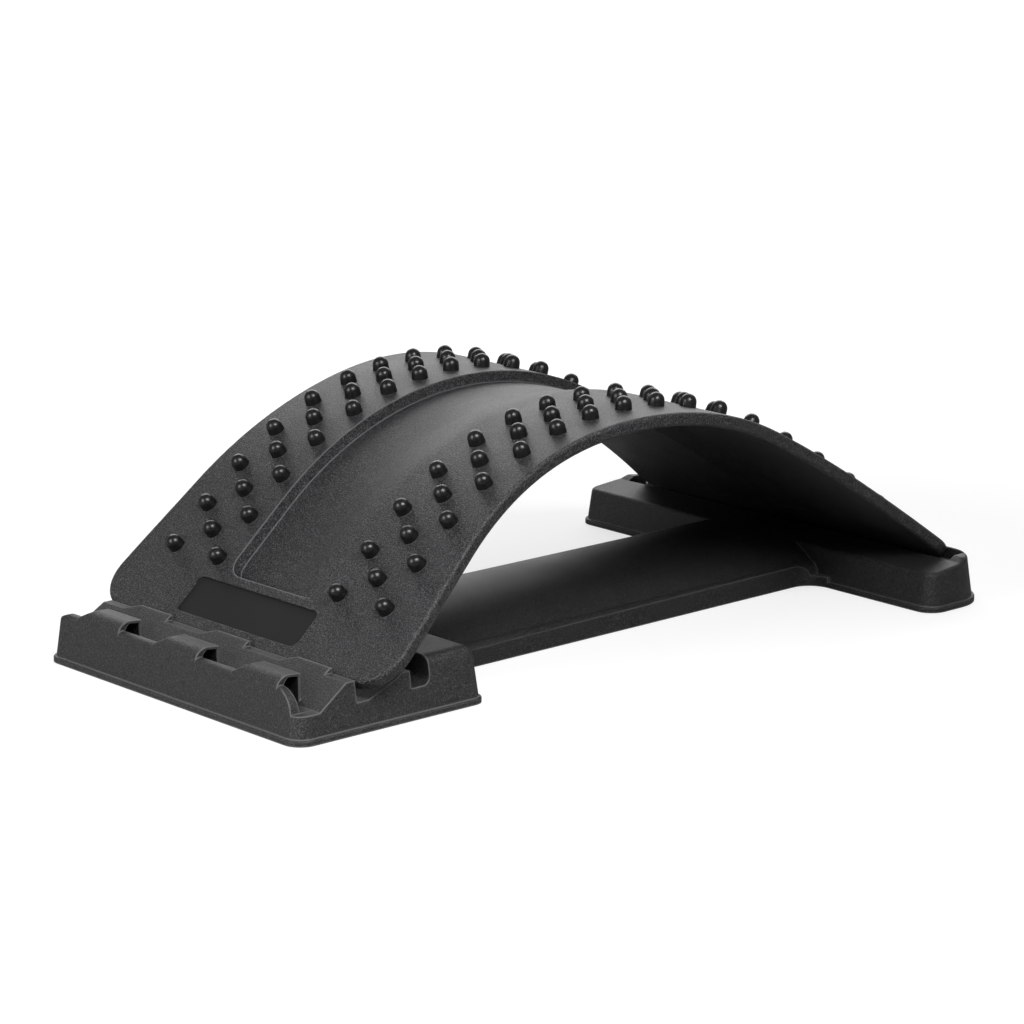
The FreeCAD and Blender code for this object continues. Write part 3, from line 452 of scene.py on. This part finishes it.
def scatter_tree(name):
    """A Geometry Nodes tree that stands one shape on every point, turned to the point's own direction."""
    tree = bpy.data.node_groups.new(name, "GeometryNodeTree")
    for label, kind, way in (
        ("Geometry", "NodeSocketGeometry", "INPUT"),
        ("Shape", "NodeSocketObject", "INPUT"),
        ("Base radius", "NodeSocketFloat", "INPUT"),
        ("Height", "NodeSocketFloat", "INPUT"),
        ("Material", "NodeSocketMaterial", "INPUT"),
        ("Geometry", "NodeSocketGeometry", "OUTPUT"),
    ):
        tree.interface.new_socket(label, in_out=way, socket_type=kind)
    graph = Graph(tree)
    entry = graph.node("NodeGroupInput").socket.node
    wires = {socket.name: Wire(graph, socket) for socket in entry.outputs if socket.name}
    shape = graph.node("GeometryNodeObjectInfo", None, {"Object": wires["Shape"]}, output="Geometry")
    lean = graph.node("GeometryNodeInputNamedAttribute", {"data_type": "FLOAT_VECTOR"}, {"Name": "lean"})
    turn = graph.node("FunctionNodeAlignRotationToVector", {"axis": "Z"}, {"Vector": lean})
    scale = graph.node("ShaderNodeCombineXYZ", None,
                       {"X": wires["Base radius"], "Y": wires["Base radius"], "Z": wires["Height"]})
    copies = graph.node("GeometryNodeInstanceOnPoints", None,
                        {"Points": wires["Geometry"], "Instance": shape, "Rotation": turn, "Scale": scale})
    solid = graph.node("GeometryNodeRealizeInstances", None, {"Geometry": copies})
    painted = graph.node("GeometryNodeSetMaterial", None, {"Geometry": solid, "Material": wires["Material"]})
    graph.node("NodeGroupOutput", None, {"Geometry": painted})
    return tree


def scattered(name, spots, tree, values):
    """One plain mesh with a shape standing on every spot."""
    mesh = bpy.data.meshes.new(name + "_points")
    mesh.from_pydata([place * MM for place, _ in spots], [], [])
    lean = mesh.attributes.new("lean", "FLOAT_VECTOR", "POINT")
    for entry, (_, direction) in zip(lean.data, spots):
        entry.vector = direction
    points = new_object(name + "_points", mesh)
    modifier = points.modifiers.new("scatter", "NODES")
    modifier.node_group = tree
    for socket in tree.interface.items_tree:
        if socket.in_out == "INPUT" and socket.name in values:
            modifier[socket.identifier] = values[socket.name]
    ready = points.evaluated_get(bpy.context.evaluated_depsgraph_get())
    result = bpy.data.meshes.new_from_object(ready)
    result.name = name
    points.modifiers.remove(modifier)
    bpy.data.objects.remove(points)
    return result


class PlasticSettings:
    """The sizes and colour that every grained plastic piece has."""

    colour: bpy.props.FloatVectorProperty(
        name="Colour", description="Base colour of the plastic", subtype="COLOR", size=3,
        default=(0.0105, 0.0105, 0.011), min=0.0, max=1.0)
    roughness: bpy.props.FloatProperty(
        name="Roughness", description="How matt the plastic is", default=0.46, min=0.05, max=1.0)
    grain_size: bpy.props.FloatProperty(
        name="Grain size", description="Width of one pebble of the grain, in millimetres",
        default=0.5, min=0.1, max=5.0)
    grain_depth: bpy.props.FloatProperty(
        name="Grain depth", description="Height of the grain, in millimetres", default=0.3, min=0.0, max=1.0)
    edge_radius: bpy.props.FloatProperty(
        name="Edge radius", description="Softening of sharp edges, in millimetres",
        default=0.7, min=0.0, max=5.0)
    # Painted highlight: how much lighter the edges are coloured
    edge_highlight: bpy.props.FloatProperty(
        name="Edge wear", description="Brightness of rubbed edges, in times the colour",
        default=10.0, min=0.0, max=20.0)
    speckle: bpy.props.FloatProperty(
        name="Speckle", description="Brightness of the grain's lightest specks, in times the colour",
        default=7.0, min=1.0, max=20.0)


class StretcherBoardSettings(PlasticSettings, bpy.types.PropertyGroup):
    """The arched board."""


class StretcherBaseSettings(PlasticSettings, bpy.types.PropertyGroup):
    """The adjuster foot, the beam and the far foot."""

    colour: bpy.props.FloatVectorProperty(
        name="Colour", description="Base colour of the plastic", subtype="COLOR", size=3,
        default=(0.036, 0.036, 0.036), min=0.0, max=1.0)
    # The frame is the same plastic as the adjuster foot; its colour is darkened to this share as painted
    # shade
    frame_shade: bpy.props.FloatProperty(
        name="Frame tone", description="The frame's colour, as a share of the adjuster foot's",
        default=0.65, min=0.0, max=1.0)
    roughness: bpy.props.FloatProperty(
        name="Roughness", description="How matt the plastic is", default=0.5, min=0.05, max=1.0)
    # Painted highlight: how much lighter the edges are coloured
    edge_highlight: bpy.props.FloatProperty(
        name="Edge wear", description="Brightness of rubbed edges, in times the colour",
        default=3.5, min=0.0, max=20.0)
    speckle: bpy.props.FloatProperty(
        name="Speckle", description="Brightness of the grain's lightest specks, in times the colour",
        default=1.5, min=1.0, max=20.0)


class StretcherNubSettings(bpy.types.PropertyGroup):
    """The massage nubs."""

    colour: bpy.props.FloatVectorProperty(
        name="Colour", description="Base colour of the nubs", subtype="COLOR", size=3,
        default=(0.006, 0.006, 0.006), min=0.0, max=1.0)
    roughness: bpy.props.FloatProperty(
        name="Roughness", description="How matt the nubs are", default=0.3, min=0.05, max=1.0)
    base_radius: bpy.props.FloatProperty(
        name="Base radius", description="Radius of a nub at the board", default=3.75 * MM, unit="LENGTH")
    height: bpy.props.FloatProperty(
        name="Height", description="Height of a nub above the board", default=5.9 * MM, unit="LENGTH")
    neck_share: bpy.props.FloatProperty(
        name="Neck share", description="Radius under the dome, as a share of the base radius",
        default=0.96, min=0.3, max=1.0)
    neck_height: bpy.props.FloatProperty(
        name="Neck height", description="Height of the cone under the dome, as a share of the height",
        default=0.38, min=0.1, max=0.9)


class StretcherPadSettings(bpy.types.PropertyGroup):
    """The anti-slip pads."""

    colour: bpy.props.FloatVectorProperty(
        name="Colour", description="Base colour of the rubber", subtype="COLOR", size=3,
        default=(0.02, 0.02, 0.02), min=0.0, max=1.0)


class StretcherStageSettings(bpy.types.PropertyGroup):
    """The studio."""

    floor_tone: bpy.props.FloatProperty(
        name="Floor tone", description="Brightness of the floor's own colour", default=0.4, min=0.0, max=1.0)
    floor_lift: bpy.props.FloatProperty(
        name="Floor lift", description="White added to the floor near the object, for the camera alone",
        default=0.68, min=0.0)
    world_light: bpy.props.FloatProperty(
        name="Surrounding light", description="Strength of the light from all round", default=0.22, min=0.0)
    back_light: bpy.props.FloatProperty(
        name="Back light", description="Power of the tall lamp behind", default=33.0, min=0.0, unit="POWER")
    side_light: bpy.props.FloatProperty(
        name="Side light", description="Power of the lamp at the left", default=19.0, min=0.0, unit="POWER")
    rim_light: bpy.props.FloatProperty(
        name="Rim light", description="Power of the small near lamp above the front",
        default=1.3, min=0.0, unit="POWER")


SETTINGS = {
    "stretcher_board": StretcherBoardSettings,
    "stretcher_base": StretcherBaseSettings,
    "stretcher_nubs": StretcherNubSettings,
    "stretcher_pads": StretcherPadSettings,
    "stretcher_stage": StretcherStageSettings,
}


class STRETCHER_OT_board(bpy.types.Operator):
    """Finishes the arched board"""

    bl_idname = "stretcher.board"
    bl_label = "Board"

    def execute(self, context):
        settings = context.scene.stretcher_board
        dress(["arch_board"], grained_plastic("board_plastic", settings, recess=label_distance))
        return {"FINISHED"}


class STRETCHER_OT_nubs(bpy.types.Operator):
    """Stands the massage nubs on the board"""

    bl_idname = "stretcher.nubs"
    bl_label = "Nubs"

    def execute(self, context):
        settings = context.scene.stretcher_nubs
        shape = new_object("nub_shape", unit_nub(settings.neck_share, settings.neck_height))
        material = smooth_plastic("nub_plastic", settings)
        values = {"Shape": shape, "Base radius": settings.base_radius, "Height": settings.height,
                  "Material": material}
        mesh = scattered("massage_nubs", nub_spots(), scatter_tree("nub_scatter"), values)
        bpy.data.objects.remove(shape)
        nubs = new_object("massage_nubs", mesh)
        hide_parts(*[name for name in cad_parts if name.startswith("nub_")])
        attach(nubs, "arch")
        return {"FINISHED"}


class STRETCHER_OT_base(bpy.types.Operator):
    """Finishes the adjuster foot, the beam and the far foot"""

    bl_idname = "stretcher.base"
    bl_label = "Base"

    def execute(self, context):
        settings = context.scene.stretcher_base
        dress(["adjuster_block"], grained_plastic("foot_plastic", settings))
        # The frame's copy of the foot's plastic is darkened, as painted shade
        dress(["base_frame"], grained_plastic("frame_plastic", settings, settings.frame_shade))
        return {"FINISHED"}


class STRETCHER_OT_pads(bpy.types.Operator):
    """Finishes the anti-slip pads"""

    bl_idname = "stretcher.pads"
    bl_label = "Pads"

    def execute(self, context):
        dress(["near_pads", "far_pads"], pad_rubber("pad_rubber", context.scene.stretcher_pads))
        return {"FINISHED"}


def light_world(settings):
    """Plain white light from all round, and plain white behind the object for the camera."""
    world = bpy.data.worlds.new("studio")
    bpy.context.scene.world = world
    world.use_nodes = True
    graph = Graph(world.node_tree)
    seen = graph.node("ShaderNodeLightPath", output="Is Camera Ray")
    background = world.node_tree.nodes["Background"]
    background.inputs["Color"].default_value = (1, 1, 1, 1)
    graph.feed(background.inputs["Strength"], seen * (1 - settings.world_light) + settings.world_light)


def add_lamp(name, power, place, target, size, spread):
    """A rectangular soft lamp that faces a target."""
    lamp = bpy.data.lights.new(name, "AREA")
    lamp.energy = power
    lamp.spread = math.radians(spread)
    lamp.shape = "RECTANGLE"
    lamp.size, lamp.size_y = size
    item = new_object(name, lamp)
    item.location = place
    item.rotation_euler = (Vector(target) - Vector(place)).to_track_quat("-Z", "Y").to_euler()


def add_floor(settings):
    """A round pale floor that goes white for the camera but keeps the object's shadow."""
    mesh = bpy.data.meshes.new("floor")
    work = bmesh.new()
    bmesh.ops.create_circle(work, cap_ends=True, segments=FLOOR_SEGMENTS, radius=FLOOR_RADIUS)
    work.to_mesh(mesh)
    work.free()
    floor = new_object("floor", mesh)
    paint = Finish("floor_paint")
    paint.set(
        Base_Color=(*(settings.floor_tone,) * 3, 1),
        Roughness=FLOOR_ROUGHNESS,
        Specular_IOR_Level=0.0,
    )
    seen = paint.node("ShaderNodeLightPath", output="Is Camera Ray")
    away = paint.node("ShaderNodeVectorMath", {"operation": "LENGTH"}, {0: paint.place}, output="Value")
    white = paint.ramp(away, WHITE_FROM, WHITE_TO, settings.floor_lift, 1.0)
    lift = paint.node("ShaderNodeEmission", None, {"Color": (1, 1, 1, 1), "Strength": seen * white})
    total = paint.node("ShaderNodeAddShader", None, {0: Wire(paint, paint.shader.outputs[0]), 1: lift})
    paint.feed(paint.tree.nodes["Material Output"].inputs["Surface"], total)
    mesh.materials.append(paint.material)


def add_camera():
    """The camera at the photograph's viewing angle."""
    camera = bpy.data.cameras.new("camera")
    camera.sensor_width = CAMERA_SENSOR
    camera.lens = CAMERA_LENS
    camera.clip_end = CAMERA_REACH
    item = new_object("camera", camera)
    yaw, pitch = math.radians(CAMERA_YAW), math.radians(CAMERA_PITCH)
    ahead = Vector((math.cos(yaw) * math.cos(pitch), math.sin(yaw) * math.cos(pitch), -math.sin(pitch)))
    item.matrix_world = Matrix.Translation(CAMERA_PLACE) @ ahead.to_track_quat("-Z", "Y").to_matrix().to_4x4()
    bpy.context.scene.camera = item


class STRETCHER_OT_stage(bpy.types.Operator):
    """Sets up the floor, the light and the camera"""

    bl_idname = "stretcher.stage"
    bl_label = "Studio"

    def execute(self, context):
        settings = context.scene.stretcher_stage
        context.scene.view_settings.view_transform = "Standard"
        light_world(settings)
        add_floor(settings)
        for name, power, *aim in LAMPS:
            add_lamp(name, getattr(settings, power), *aim)
        add_camera()
        return {"FINISHED"}


OPERATORS = (STRETCHER_OT_board, STRETCHER_OT_nubs, STRETCHER_OT_base, STRETCHER_OT_pads, STRETCHER_OT_stage)


class STRETCHER_PT_panel(bpy.types.Panel):
    """Lists the stretcher's pieces with their settings"""

    bl_idname = "STRETCHER_PT_panel"
    bl_label = "Back stretcher"
    bl_space_type = "VIEW_3D"
    bl_region_type = "UI"
    bl_category = "Stretcher"

    def draw(self, context):
        for operator in OPERATORS:
            self.layout.operator(operator.bl_idname)
        for name, group in SETTINGS.items():
            section = self.layout.box()
            section.label(text=group.__doc__)
            values = getattr(context.scene, name)
            for entry in values.bl_rna.properties:
                if entry.identifier not in ("rna_type", "name"):
                    section.prop(values, entry.identifier)


CLASSES = (*SETTINGS.values(), *OPERATORS, STRETCHER_PT_panel)


def register():
    for item in CLASSES:
        bpy.utils.register_class(item)
    for name, group in SETTINGS.items():
        setattr(bpy.types.Scene, name, bpy.props.PointerProperty(type=group))


def unregister():
    for name in SETTINGS:
        delattr(bpy.types.Scene, name)
    for item in reversed(CLASSES):
        bpy.utils.unregister_class(item)


def main():
    register()
    bpy.ops.stretcher.board()
    bpy.ops.stretcher.nubs()
    bpy.ops.stretcher.base()
    bpy.ops.stretcher.pads()
    bpy.ops.stretcher.stage()


if __name__ == "__main__":
    main()
